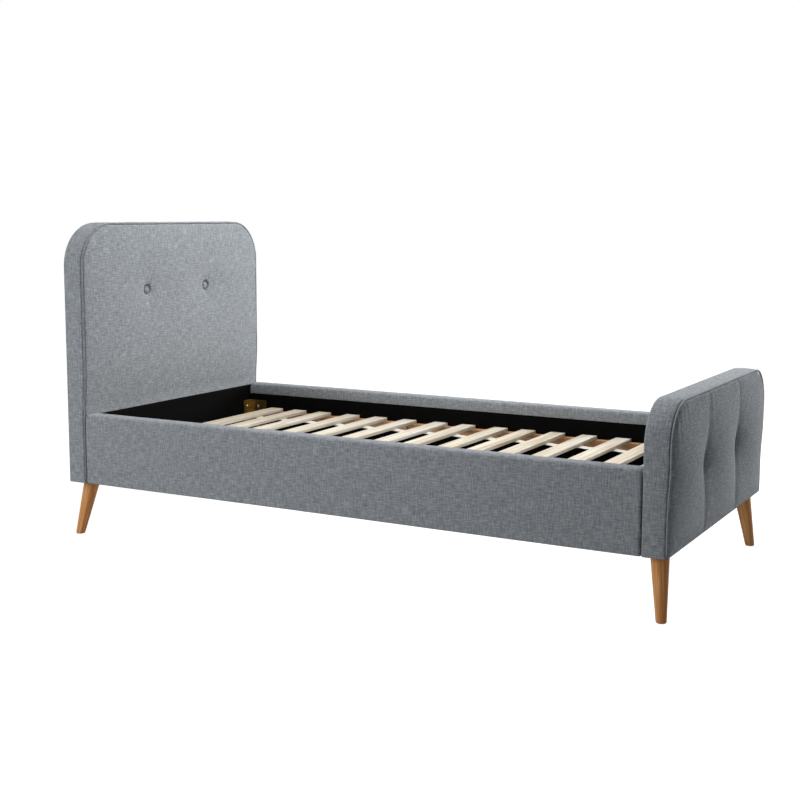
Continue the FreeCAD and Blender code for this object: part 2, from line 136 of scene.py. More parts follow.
def new_material(name, **sockets):
    """An empty node material, its tree, and its shader with constant sockets set."""
    material = bpy.data.materials.new(name)
    material.use_nodes = True
    tree = material.node_tree
    shader = tree.nodes["Principled BSDF"]
    for key, value in sockets.items():
        shader.inputs[key.replace("_", " ")].default_value = value
    return material, tree, shader


def bump(tree, shader, height, distance):
    """Relief from a height value, in metres of depth."""
    made = node(tree, "Bump", Height=height, Distance=distance, Strength=1.0)
    tree.links.new(made.outputs[0], shader.inputs["Normal"])


def woven(name, dark, middle, light, pitch, contrast, relief, sheen=0.25, sheen_tint=None):
    """Cloth of heathered yarns: warp and weft at a pitch, each yarn's tone drifting along it."""
    material, tree, shader = new_material(name, Roughness=0.92, Sheen_Weight=sheen,
                                          Sheen_Roughness=0.45, Specular_IOR_Level=0.2)
    shader.inputs["Sheen Tint"].default_value = sheen_tint or middle
    weave = node(tree, "UVMap", {"uv_map": "weave"}).outputs[0]
    parts = node(tree, "SeparateXYZ", Vector=weave)
    turns = math.pi / pitch
    across = calc(tree, "SINE", calc(tree, "MULTIPLY", parts.outputs[0], turns))
    along = calc(tree, "SINE", calc(tree, "MULTIPLY", parts.outputs[1], turns))
    cell = calc(tree, "MULTIPLY", across, along)
    yarn = calc(tree, "POWER", calc(tree, "ABSOLUTE", cell), 0.6)

    warp = noise(tree, stretched(tree, weave, (0.5 / pitch, 60, 1)), detail=1)
    weft = noise(tree, stretched(tree, weave, (55, 0.5 / pitch, 1)), detail=1)
    over = span(tree, cell, -0.25, 0.25)
    strand = calc(tree, "ADD", calc(tree, "MULTIPLY", warp, over),
                  calc(tree, "MULTIPLY", weft, calc(tree, "SUBTRACT", 1.0, over)))
    slub_warp = noise(tree, stretched(tree, weave, (0.3 / pitch, 36, 1)), detail=1)
    slub_weft = noise(tree, stretched(tree, weave, (33, 0.3 / pitch, 1)), detail=1)
    slub = calc(tree, "ADD", slub_warp, slub_weft)
    fleck = noise(tree, weave, 430, 1, 0.5)
    cloud = noise(tree, weave, 14, 2)
    tone, middle_tone = 0.0, 0.0
    for part, weight, centre in ((strand, 0.8, 0.5), (slub, 0.62, 1.0), (fleck, 0.6, 0.5),
                                 (cloud, 0.1, 0.5)):
        tone = calc(tree, "ADD", calc(tree, "MULTIPLY", part, weight), tone)
        middle_tone += weight * centre
    reach = 0.34 / contrast
    colour = ramp(tree, span(tree, tone, middle_tone - reach, middle_tone + reach),
                  (0.0, dark), (0.5, middle), (1.0, light))
    gap = span(tree, yarn, 0.0, 0.45, 0.72, 1.0)
    colour = mix(tree, 1.0, colour, node(tree, "CombineColor", i0=gap, i1=gap, i2=gap).outputs[0],
                 "MULTIPLY")
    tree.links.new(colour, shader.inputs["Base Color"])
    height = calc(tree, "ADD", calc(tree, "MULTIPLY", yarn, 0.6),
                  calc(tree, "MULTIPLY", calc(tree, "ADD", strand, slub), 0.5))
    bump(tree, shader, height, relief)
    return material


def timber(name, pale, deep, across, along, rings, grain_axis=None, gloss=0.55, knots=0.0,
           vary=0.0):
    """Wood whose grain runs along an axis of the object, or along v of its weave map.

    across and along scale the grain, knots is how many a metre holds, and vary is how many
    separately tinted strips a metre of X holds.
    """
    material, tree, shader = new_material(name, Roughness=gloss, Specular_IOR_Level=0.35)
    if grain_axis is None:
        place = node(tree, "UVMap", {"uv_map": "weave"}).outputs[0]
        fibre = (across * 9, along * 1.5, 1)
        field = (across, along, 1)
    else:
        place = node(tree, "TexCoord").outputs["Object"]
        fibre = tuple(along * 1.5 if i == grain_axis else across * 9 for i in range(3))
        field = tuple(along if i == grain_axis else across for i in range(3))
    warp = noise(tree, stretched(tree, place, field), 1.0, 3, 0.55, 0.4)
    bands = calc(tree, "SINE", calc(tree, "MULTIPLY", warp, rings))
    bands = span(tree, bands, -1.0, 1.0)
    fibres = noise(tree, stretched(tree, place, fibre), 1.0, 3, 0.6)
    tone = calc(tree, "ADD", calc(tree, "MULTIPLY", bands, 0.45),
                calc(tree, "MULTIPLY", fibres, 0.55))
    cloud = noise(tree, stretched(tree, place, tuple(0.12 * f for f in field)), 1.0, 2)
    tone = calc(tree, "ADD", tone, calc(tree, "MULTIPLY", calc(tree, "SUBTRACT", cloud, 0.5), 0.5))
    if vary:
        row = calc(tree, "FLOOR", calc(tree, "MULTIPLY", node(
            tree, "SeparateXYZ", Vector=place).outputs[0], vary))
        tint = node(tree, "TexWhiteNoise", {"noise_dimensions": "1D"}, W=row).outputs[0]
        tone = calc(tree, "ADD", tone, span(tree, tint, 0.0, 1.0, -0.16, 0.16))
    colour = ramp(tree, tone, (0.2, pale), (0.85, deep))
    if knots:
        cells = node(tree, "TexVoronoi", Vector=stretched(tree, place, tuple(
            knots * (0.35 if i == grain_axis else 1.0) for i in range(3))), Scale=1.0)
        spot = span(tree, cells.outputs[0], 0.05, 0.16, 1.0, 0.0)
        colour = mix(tree, spot, colour, tuple(0.35 * c for c in deep[:3]) + (1.0,))
    tree.links.new(colour, shader.inputs["Base Color"])
    bump(tree, shader, fibres, 0.25 * MM)
    return material


def metal(name, colour, tarnish, gloss):
    """Plated steel with faint patches of another tint."""
    material, tree, shader = new_material(name, Metallic=1.0)
    place = node(tree, "TexCoord").outputs["Object"]
    patch = noise(tree, place, 45, 3, 0.6, 0.6)
    tree.links.new(ramp(tree, patch, (0.35, colour), (0.7, tarnish)), shader.inputs["Base Color"])
    scuff = noise(tree, place, 420, 2)
    tree.links.new(span(tree, scuff, 0.3, 0.7, gloss - 0.08, gloss + 0.1),
                   shader.inputs["Roughness"])
    bump(tree, shader, scuff, 0.05 * MM)
    return material


def felted(name, colour, fuzz):
    """Thin black non-woven cloth with a dimpled bond pattern."""
    material, tree, shader = new_material(name, Roughness=0.9, Specular_IOR_Level=0.05)
    place = node(tree, "TexCoord").outputs["Object"]
    fibre = noise(tree, place, 900, 3, 0.6)
    dimple = node(tree, "TexVoronoi", Vector=place, Scale=420).outputs[0]
    tree.links.new(ramp(tree, fibre, (0.3, colour), (0.75, fuzz)), shader.inputs["Base Color"])
    bump(tree, shader, calc(tree, "ADD", fibre, dimple), 0.2 * MM)
    return material


GREY = woven("grey_linen", srgb(92, 98, 104), srgb(141, 146, 151), srgb(188, 193, 197),
             1.15 * MM, 0.72, 0.5 * MM, sheen_tint=srgb(204, 206, 210))
LINING = felted("black_lining_cloth", srgb(5, 5, 5), srgb(13, 13, 13))
TAPE = woven("white_tape", srgb(205, 202, 194), srgb(232, 229, 222), srgb(246, 244, 240),
             0.9 * MM, 0.6, 0.3 * MM, sheen=0.1)
HONEY = timber("honey_oak_wood", srgb(238, 178, 112), srgb(172, 104, 46), 55, 3, 14, gloss=0.4)
CREAM = timber("pale_pine_wood", srgb(226, 221, 209), srgb(194, 178, 152), 36, 1.6, 17,
               grain_axis=1, gloss=0.6, vary=1 / SLAT_PITCH)
TAN = timber("tan_pine_wood", srgb(222, 180, 134), srgb(172, 120, 76), 40, 1.4, 17,
             grain_axis=0, gloss=0.6, knots=3.5)
GOLD = metal("yellow_zinc_plate", srgb(214, 172, 96), srgb(140, 126, 78), 0.36)
ZINC = metal("zinc_plate", srgb(208, 206, 198), srgb(170, 160, 128), 0.3)


# ---------------- mesh building
def mesh_object(name, points, faces, weave, materials, face_materials=None):
    """A smooth-shaded object with a weave map in metres, one pair for each face corner."""
    mesh = bpy.data.meshes.new(name)
    mesh.from_pydata([tuple(p) for p in points], [], faces)
    layer = mesh.uv_layers.new(name="weave")
    layer.data.foreach_set("uv", np.asarray(weave, np.float32).ravel())
    for material in materials:
        mesh.materials.append(material)
    mesh.polygons.foreach_set("use_smooth", np.ones(len(faces), bool))
    if face_materials is not None:
        mesh.polygons.foreach_set("material_index", np.asarray(face_materials, np.int32))
    mesh.update()
    made = bpy.data.objects.new(name, mesh)
    bpy.context.scene.collection.objects.link(made)
    return made


def quads(ids, closed=False):
    """Faces of a grid of vertex numbers, with each corner's (row, column)."""
    rows, columns = ids.shape
    faces, corners = [], []
    for j in range(rows - 1):
        for i in range(columns if closed else columns - 1):
            after = (i + 1) % columns
            faces.append((ids[j, i], ids[j, after], ids[j + 1, after], ids[j + 1, i]))
            corners.append(((j, i), (j, i + 1), (j + 1, i + 1), (j + 1, i)))
    return faces, corners


def loft(name, rings, materials, lengths, ring_materials=None):
    """A capped skin over closed rings of points, with the weave's run at each ring."""
    rings = np.asarray(rings, float)
    count, size = rings.shape[:2]
    ids = np.arange(count * size).reshape(count, size)
    faces, corners = quads(ids, closed=True)
    middle = rings[count // 2]
    round_it = np.linalg.norm(np.roll(middle, -1, axis=0) - middle, axis=1)
    around = np.concatenate([[0], np.cumsum(round_it)])
    weave = [(around[i], lengths[j]) for corner in corners for j, i in corner]
    kinds = [0 if ring_materials is None else ring_materials[i[0][1]] for i in corners]
    for row in (0, count - 1):
        faces.append(tuple(ids[row] if row == 0 else ids[row][::-1]))
        kinds.append(0)
        flat = rings[row] - rings[row][0]
        weave += [(p[0] + p[1], p[2]) for p in (flat if row == 0 else flat[::-1])]
    made = mesh_object(name, rings.reshape(-1, 3), faces, weave, materials, kinds)
    tidy_normals(made)
    return made


def tidy_normals(piece):
    """Turn every face outwards."""
    work = bmesh.new()
    work.from_mesh(piece.data)
    bmesh.ops.recalc_face_normals(work, faces=work.faces)
    work.to_mesh(piece.data)
    work.free()


def lines(low, high, step, fine):
    """Grid lines about a step apart, and closer near each (centre, reach, fine step)."""
    found = [low]
    while found[-1] < high - 1e-6:
        pace = step
        for centre, reach, close in fine:
            away = abs(found[-1] - centre)
            if away < reach:
                pace = min(pace, close + (step - close) * (away / reach) ** 3)
        found.append(found[-1] + pace)
    found = np.array(found)
    return low + (found - low) * (high - low) / (found[-1] - low)


def smooth_step(value):
    """0 below 0, 1 above 1, and a smooth rise between."""
    value = np.clip(value, 0, 1)
    return value * value * (3 - 2 * value)


def ripple(first, second, seed, size):
    """A smooth irregular wave field, from about -1 to 1, of a typical size in metres."""
    draw = np.random.RandomState(seed)
    total = 0
    for _ in range(7):
        angle = draw.uniform(0, math.pi)
        wave = size * draw.uniform(0.7, 1.8)
        phase = draw.uniform(0, 2 * math.pi)
        total = total + np.sin(2 * math.pi * (first * math.cos(angle) + second * math.sin(angle))
                               / wave + phase)
    return total / 4


# ---------------- padded boards
EDGE_STEPS = np.array([14, 10, 6.8, 4.6, 3.1, 1.9, 0.9, 0]) * MM  # in from a face's edge
SETTLE_FRAMES = 20


class Board:
    """Sizes of one padded board. Its tufted face looks along +X.

    hang is how far the cloth hangs below the rails' underside, and seam_level is the height of
    the seam across the boxing strip, if there is one.
    """

    def __init__(self, name, corner, tufts, full_from, fullness, crease, hang=0.0,
                 seam_level=None):
        low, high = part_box(f"{name}_cover")
        self.name = name
        self.face, self.back = high.x, low.x
        self.top, self.bottom = high.z, UNDERSIDE - hang
        self.corner = corner
        self.tufts = tufts
        self.straight = HALF_WIDTH - corner  # |Y| where the corner arcs start
        self.shoulder = self.top - corner  # Z where the corner arcs start
        self.full_from = full_from  # Z where the padding starts to thicken
        self.fullness = fullness  # its extra thickness higher up
        self.crease = crease  # depth of the seams' creases, as a factor
        self.seam_level = seam_level

    def forward(self, z):
        """How far the face and its seam stand in front of the face's plane."""
        return self.fullness * smooth_step((z - self.full_from) / (150 * MM))

    def inside(self, y, z):
        """Distance in from the sides and the top."""
        across, up = np.abs(y) - self.straight, z - self.shoulder
        plain = np.minimum(HALF_WIDTH - np.abs(y), self.top - z)
        return np.where((across > 0) & (up > 0), self.corner - np.hypot(across, up), plain)


def swell(board, low, step, pressure, pull, slack):
    """How far the face's cloth stands out, from a cloth simulation.

    The cloth is held at its seams, pulled in at the tufts and pressed out by the padding, and it
    is cut a little larger than the face, by slack = (across, up). Returns grid lines and heights.
    """
    half = HALF_WIDTH - SEAM_INSET
    top = board.top - SEAM_INSET
    radius = board.corner - SEAM_INSET
    ys = np.linspace(-half, half, round(2 * half / step) + 1)
    zs = np.linspace(low, top, round((top - low) / step) + 1)
    y, z = np.meshgrid(ys, zs)
    centre_y = np.sign(y) * (half - radius)
    centre_z = top - radius
    reach = np.hypot(y - centre_y, z - centre_z)
    edge = (np.abs(y) > half - radius) & (z > centre_z) & (reach > radius - 0.4 * step)
    shrink = np.where(edge, radius / np.maximum(reach, 1e-9), 1)
    y = np.where(edge, centre_y + (y - centre_y) * shrink, y)
    z = np.where(edge, centre_z + (z - centre_z) * shrink, z)
    held = edge.copy()
    held[0] = held[-1] = held[:, 0] = held[:, -1] = True
    x = np.zeros_like(y)
    for tuft_y, tuft_z in board.tufts:
        away = np.hypot(y - tuft_y, z - tuft_z)
        held |= away < 10 * MM
        x -= pull * np.exp(-(away / (28 * MM)) ** 2)

    faces, corners = quads(np.arange(y.size).reshape(y.shape))
    kept = [f for f, c in zip(faces, corners) if not all(edge[place] for place in c)]
    used = np.unique(np.array(kept))
    number = -np.ones(y.size, int)
    number[used] = np.arange(len(used))
    points = np.stack([x, y, z], -1).reshape(-1, 3)[used]
    mesh = bpy.data.meshes.new("cloth")
    mesh.from_pydata(points.tolist(), [], number[np.array(kept)].tolist())
    cloth = bpy.data.objects.new("cloth", mesh)
    bpy.context.scene.collection.objects.link(cloth)
    group = cloth.vertex_groups.new(name="held")
    group.add([int(i) for i in np.flatnonzero(held.ravel()[used])], 1, "REPLACE")
    cloth.shape_key_add(name="Basis")
    cut = cloth.shape_key_add(name="cut")
    larger = points * [1, slack[0], slack[1]]
    cut.data.foreach_set("co", larger.astype(np.float32).ravel())
    modifier = cloth.modifiers.new("Cloth", "CLOTH")
    settings = modifier.settings
    settings.quality = 6
    settings.mass = 0.01
    settings.tension_stiffness = settings.compression_stiffness = 15
    settings.shear_stiffness = 5
    settings.bending_stiffness = 0.5
    settings.vertex_group_mass = "held"
    settings.use_pressure = True
    settings.uniform_pressure_force = pressure
    settings.effector_weights.gravity = 0
    settings.rest_shape_key = cut
    modifier.collision_settings.use_collision = False
    modifier.point_cache.frame_end = SETTLE_FRAMES
    for moment in range(1, SETTLE_FRAMES + 1):
        bpy.context.scene.frame_set(moment)
    solved = cloth.evaluated_get(bpy.context.evaluated_depsgraph_get()).to_mesh()
    result = np.empty(len(used) * 3, np.float32)
    solved.vertices.foreach_get("co", result)
    bpy.context.scene.frame_set(1)
    bpy.data.objects.remove(cloth)
    height = np.zeros(y.size)
    height[used] = np.clip(result.reshape(-1, 3)[:, 0], -pull, 12 * MM)
    height = height.reshape(y.shape)
    inner = height[1:-1, 1:-1]
    ring = (height[:-2, 1:-1] + height[2:, 1:-1] + height[1:-1, :-2] + height[1:-1, 2:]) / 4
    height[1:-1, 1:-1] = 0.5 * inner + 0.5 * ring
    return ys, zs, height


def sample(field, y, z):
    """A swell's height at any place, from its grid."""
    ys, zs, height = field
    i = np.clip((y - ys[0]) / (ys[1] - ys[0]), 0, len(ys) - 1.001)
    j = np.clip((z - zs[0]) / (zs[1] - zs[0]), 0, len(zs) - 1.001)
    i0, j0 = i.astype(int), j.astype(int)
    a, b = i - i0, j - j0
    near = height[j0, i0] * (1 - a) + height[j0, i0 + 1] * a
    far = height[j0 + 1, i0] * (1 - a) + height[j0 + 1, i0 + 1] * a
    return near * (1 - b) + far * b


def board_piece(board, face_height, back_height, lining_on, band_bulge, fine):
    """One closed upholstered board: tufted face, boxing strip round the edge, and back."""
    reach = board.corner - SEAM_INSET
    radial = np.concatenate([
        np.linspace(0, reach - EDGE_STEPS[0], round((reach - EDGE_STEPS[0]) / (6 * MM)) + 1)[1:-1],
        reach - EDGE_STEPS])
    right = lines(0, board.straight, 6 * MM, [(abs(t[0]), *fine) for t in board.tufts[:1]])
    columns = np.concatenate([-board.straight - radial[::-1], -right[:0:-1], right,
                              board.straight + radial])
    start = board.bottom + SEAM_INSET
    foot = start + EDGE_STEPS[::-1]
    step_low, step_high = SILL_TOP - 1.5 * MM, SILL_TOP - 0.2 * MM
    level = board.tufts[0][1]
    near = [(level, *fine)]
    rows = np.concatenate([foot, lines(foot[-1], step_low, 6 * MM, near)[1:],
                           [step_high],
                           lines(step_high + 0.6 * MM, board.shoulder, 6 * MM, near),
                           board.shoulder + radial])
    reach_count = len(radial)
    first_side = reach_count  # column of -straight
    last_side = len(columns) - 1 - reach_count  # column of +straight
    shoulder_row = len(rows) - 1 - reach_count

    angles = np.linspace(0, math.pi / 2, round(board.corner * math.pi / 2 / (6 * MM)) + 1)
    if board.seam_level:
        seam_angle = math.asin((board.seam_level - board.shoulder) / board.corner)
        close = np.radians([-2.2, -1.0, -0.45, 0, 0.45, 1.0, 2.2])
        far = np.abs(angles - seam_angle) > math.radians(3)
        angles = np.sort(np.concatenate([angles[far], seam_angle + close]))
    inner_angles = angles[1:-1]

    # Vertex numbers of the lattice and of the two quarter-round corner patches.
    y, z = np.meshgrid(columns, rows)
    in_corner = (np.abs(y) > board.straight + 1e-9) & (z > board.shoulder + 1e-9)
    ids = -np.ones(y.shape, int)
    ids[~in_corner] = np.arange((~in_corner).sum())
    flat_y, flat_z = list(y[~in_corner]), list(z[~in_corner])
    patches = {}
    for side in (-1, 1):
        patch = np.zeros((reach_count, len(angles)), int)
        for k, radius in enumerate(radial):
            column = first_side - 1 - k if side < 0 else last_side + 1 + k
            centre_column = first_side if side < 0 else last_side
            patch[k, 0] = ids[shoulder_row, column]
            patch[k, -1] = ids[shoulder_row + 1 + k, centre_column]
            for a, angle in enumerate(inner_angles, start=1):
                patch[k, a] = len(flat_y)
                flat_y.append(side * (board.straight + radius * math.cos(angle)))
                flat_z.append(board.shoulder + radius * math.sin(angle))
        patches[side] = patch
    flat_y, flat_z = np.array(flat_y), np.array(flat_z)
    count = len(flat_y)

    sheet = []
    for face in quads(ids)[0]:
        if min(face) >= 0:
            sheet.append(face)
    for side, patch in patches.items():
        centre = ids[shoulder_row, first_side if side < 0 else last_side]
        for a in range(len(angles) - 1):
            ring = (centre, patch[0, a], patch[0, a + 1])
            sheet.append(ring if side > 0 else ring[::-1])
        for face in quads(patch)[0]:
            sheet.append(face[::-1] if side > 0 else face)

    # The closed rim: up the -Y side, over the top, down the +Y side and back underneath.
    rim = [ids[j, 0] for j in range(shoulder_row + 1)]
    rim += list(patches[-1][-1, 1:-1])
    rim += [ids[-1, i] for i in range(first_side, last_side + 1)]
    rim += list(patches[1][-1, 1:-1][::-1])
    rim += [ids[j, -1] for j in range(shoulder_row, -1, -1)]
    sides = len(rim)
    rim += [ids[0, i] for i in range(len(columns) - 2, 0, -1)]
    rim = np.array(rim)
    rim_y, rim_z = flat_y[rim], flat_z[rim]
    away_y = np.maximum(np.abs(rim_y) - board.straight, 0) * np.sign(rim_y)
    away_z = np.maximum(rim_z - board.shoulder, 0)
    size = np.hypot(away_y, away_z)
    normal_y = np.where(size > 0, away_y / np.maximum(size, 1e-9), 0)
    normal_z = np.where(size > 0, away_z / np.maximum(size, 1e-9), 0)
    under = np.zeros(len(rim))
    under[sides:] = 1
    normal_y[sides:], normal_z[sides:] = 0, -1
    for corner in (0, sides - 1):
        under[corner] = 1
        normal_y[corner], normal_z[corner] = np.sign(rim_y[corner]), -1
    length = np.concatenate([[0], np.cumsum(np.hypot(np.diff(rim_y), np.diff(rim_z)))])

    # Rings of the boxing strip: inset from the silhouette and depth behind the face.
    thick = board.face - board.back
    seam = [(4.6, 9.2), (3.7, 9.2), (3.1, 8.7), (2.3, 9.0), (1.1, 10.2), (0.3, 12.4)]
    profile = [(i * MM * board.crease, d * MM) for i, d in seam]
    for share in (0.28, 0.42, 0.56, 0.7, 0.84):
        bulge = band_bulge * math.sin(math.pi * (share - 0.14) / 0.84)
        profile.append((-bulge, share * thick))
    for degrees in (0, 20, 42, 64, 80):
        turn = math.radians(degrees)
        profile.append((SEAM_INSET * (1 - math.cos(turn)),
                        thick - SEAM_INSET * (1 - math.sin(turn))))
    groove = np.zeros(len(rim))
    if board.seam_level:
        for side in (-1, 1):
            along = np.where(np.sign(rim_y) == side, rim_z - board.seam_level, 1.0)
            groove += 1.5 * MM * np.exp(-(along / (1.1 * MM)) ** 2)
            groove -= 0.5 * MM * np.exp(-((np.abs(along) - 3.5 * MM) / (2.5 * MM)) ** 2)

    front_x = board.face + board.forward(flat_z) + face_height(flat_y, flat_z)
    back_x = board.back - back_height(flat_y, flat_z)
    recess = np.where((np.abs(flat_y) < LINING_HALF) & (flat_z < SILL_TOP - 1 * MM), 2.5 * MM, 0)
    if lining_on == "face":
        front_x = np.where(recess > 0, board.face - recess, front_x)
    else:
        back_x = np.where(recess > 0, board.back + recess, back_x)
    points = [np.stack([front_x, flat_y, flat_z], -1)]
    rings = [rim]
    widths = [0.0]
    depth_before = 0
    for inset, depth in profile:
        wrap = depth
        if depth < 12 * MM:
            wrap = SEAM_INSET - math.sqrt(max(SEAM_INSET ** 2 - (SEAM_INSET - inset) ** 2, 0))
        grow = np.full(len(rim), SEAM_INSET - inset)
        if inset < 0.25 * MM:
            grow = grow + np.where(under > 0, inset, 0)
            grow = grow + 0.35 * MM * ripple(length, depth, 7, 0.12) * (1 - under)
        if depth > 9 * MM and depth < thick - 2 * MM:
            grow = grow - groove * (1 - under)
        x = board.face - (depth * (1 - under) + wrap * under)
        x = x + board.forward(rim_z) * (1 - depth / thick)
        points.append(np.stack([x, rim_y + normal_y * grow, rim_z + normal_z * grow], -1))
        rings.append(count + len(rim) * (len(rings) - 1) + np.arange(len(rim)))
        widths.append(widths[-1] + max(1.0 * MM, abs(depth - depth_before)))
        depth_before = depth
    back_start = count + len(rim) * len(profile)
    points.append(np.stack([back_x, flat_y, flat_z], -1))
    rings.append(back_start + rim)
    widths.append(widths[-1] + 2 * MM)

    faces = list(sheet)
    weave = [(flat_y[i], flat_z[i]) for face in sheet for i in face]
    kinds = [0] * len(faces)
    band, corners = quads(np.array(rings), closed=True)
    lengths = np.append(length, length[-1] + 6 * MM)
    strip_first, strip_last = 6, len(rings) - 7  # rings that may be black underneath
    for face, corner in zip(band, corners):
        faces.append(face[::-1])
        weave += [(lengths[i], widths[j]) for j, i in corner[::-1]]
        ring, place = corner[0]
        below = place >= sides - 1 and strip_first <= ring <= strip_last
        kinds.append(1 if below else 0)
    for face in sheet:
        faces.append(tuple(back_start + i for i in face[::-1]))
        weave += [(flat_y[i], flat_z[i]) for i in face[::-1]]
        kinds.append(0)
    made = mesh_object(f"{board.name}_upholstery", np.concatenate(points), faces, weave,
                       [GREY, LINING], kinds)
    tidy_normals(made)
    return made


def welt(board, radius, inset, depth):
    """Piping along the seam between a board's face and its boxing strip."""
    half = HALF_WIDTH - inset
    reach = board.corner - inset
    path = [(-half, z) for z in np.linspace(board.bottom + 2 * MM, board.shoulder, 40)[:-1]]
    path += [(-board.straight - reach * math.cos(a), board.shoulder + reach * math.sin(a))
             for a in np.linspace(0, math.pi / 2, 36)]
    one_side = len(path)
    across_top = np.linspace(-board.straight, board.straight, 90)[1:-1]
    path += [(y, board.top - inset) for y in across_top]
    path += [(-y, z) for y, z in reversed(path[:one_side])]
    path = np.array(path)
    ahead = np.gradient(path, axis=0)
    ahead /= np.linalg.norm(ahead, axis=1)[:, None]
    out = np.stack([-ahead[:, 1], ahead[:, 0]], -1)
    run = np.concatenate([[0], np.cumsum(np.linalg.norm(np.diff(path, axis=0), axis=1))])
    wander = 0.25 * MM * ripple(run, 0 * run, 3, 0.05)
    rings = []
    for i, (y, z) in enumerate(path):
        end = min(i, len(path) - 1 - i)
        front = board.face - depth + board.forward(z)
        size = radius * min(1, 0.35 + 0.35 * end)
        ring = []
        for turn in np.linspace(0, 2 * math.pi, 12, endpoint=False):
            lift = size * math.cos(turn) + wander[i]
            side = size * math.sin(turn)
            ring.append((front + side, y + out[i, 0] * lift, z + out[i, 1] * lift))
        rings.append(ring)
    return loft(f"{board.name}_welt", rings, [GREY], lengths=run)


def buttons(board, wide, high, depth):
    """Cloth-covered domes, a little creased round the rim, set back from the face."""
    section = [(0.0, -1.0), (0.86, -1.0), (0.97, 0.05), (1.0, 0.3), (0.96, 0.55), (0.84, 0.76),
               (0.66, 0.9), (0.42, 0.97), (0.2, 1.0), (0.02, 1.0)]
    points, faces, weave = [], [], []
    for index, (y, z) in enumerate(board.tufts):
        front = board.face - depth + board.forward(z)
        rings = []
        for share, lift in section[1:]:
            ring = []
            for turn in np.linspace(0, 2 * math.pi, 40, endpoint=False):
                pucker = 1 + 0.022 * share ** 4 * math.sin(11 * turn + index)
                radius = wide / 2 * share * pucker
                ring.append((front + high * lift, y + radius * math.cos(turn),
                             z + radius * math.sin(turn)))
            rings.append(ring)
        base = len(points)
        points += [p for ring in rings for p in ring]
        ids = base + np.arange(len(rings) * 40).reshape(len(rings), 40)
        skin = quads(ids, closed=True)[0]
        skin += [tuple(ids[0][::-1]), tuple(ids[-1])]
        faces += skin
        weave += [(points[v][1] * 0.9, points[v][2] * 0.9) for face in skin for v in face]
    made = mesh_object(f"{board.name}_button_caps", points, faces, weave, [GREY])
    tidy_normals(made)
    return made


def tuft_pair(level):
    """Two tufts at a height, each as (Y, Z)."""
    return [(-167 * MM, level), (167 * MM, level)]


head = Board("headboard", corner=146 * MM, tufts=tuft_pair(809 * MM), full_from=RAIL_TOP,
             fullness=7 * MM, crease=0.6)
foot = Board("footboard", corner=120 * MM, tufts=tuft_pair(390 * MM), full_from=280 * MM,
             fullness=5 * MM, crease=1.0, hang=3 * MM, seam_level=531 * MM)
head_swell = swell(head, SILL_TOP, step=11 * MM, pressure=1.6, pull=3 * MM,
                   slack=(1.006, 1.003))
foot_swell = swell(foot, UNDERSIDE, step=8.5 * MM, pressure=4.0, pull=14 * MM,
                   slack=(1.02, 1.01))


def seam_roll(inset, shallow, reach, depth, ditch):
    """How far the face falls behind its plane: a narrow ditch at the seam, and a wide roll."""
    behind = np.maximum(inset - SEAM_INSET, 0)
    return ((depth - shallow) * np.exp(-(behind / ditch) ** 2)
            + shallow * np.exp(-behind / reach))


def head_face(y, z):
    """Relief of the headboard's face: nearly flat, with two buttoned pits."""
    inset = head.inside(y, z)
    height = sample(head_swell, y, z) * smooth_step((z - SILL_TOP) / (60 * MM))
    height -= seam_roll(inset, 2.2 * MM, 6 * MM, 9.4 * MM, 1.8 * MM)
    height += 0.35 * MM * ripple(y, z, 11, 0.22)
    for tuft_y, tuft_z in head.tufts:
        across, up = y - tuft_y, z - tuft_z
        away = np.hypot(across, up)
        height -= 3.0 * MM * np.exp(-away / (24 * MM))
        height -= 14 * MM * (1 - smooth_step((away - 16 * MM) / (3.5 * MM)))
        crease = across - 0.35 * up - 3 * MM
        ridge = 0.3 * np.exp(-((crease + 9 * MM) / (6 * MM)) ** 2)
        above = np.exp(-(crease / (5 * MM)) ** 2) - ridge
        below = np.exp(-((across + 0.05 * up) / (8 * MM)) ** 2)
        fade = np.exp(-(np.abs(up) / (48 * MM)) ** 1.5)
        height -= np.where(up > 0, 3.4 * MM * above, 2.2 * MM * below) * fade
    return height


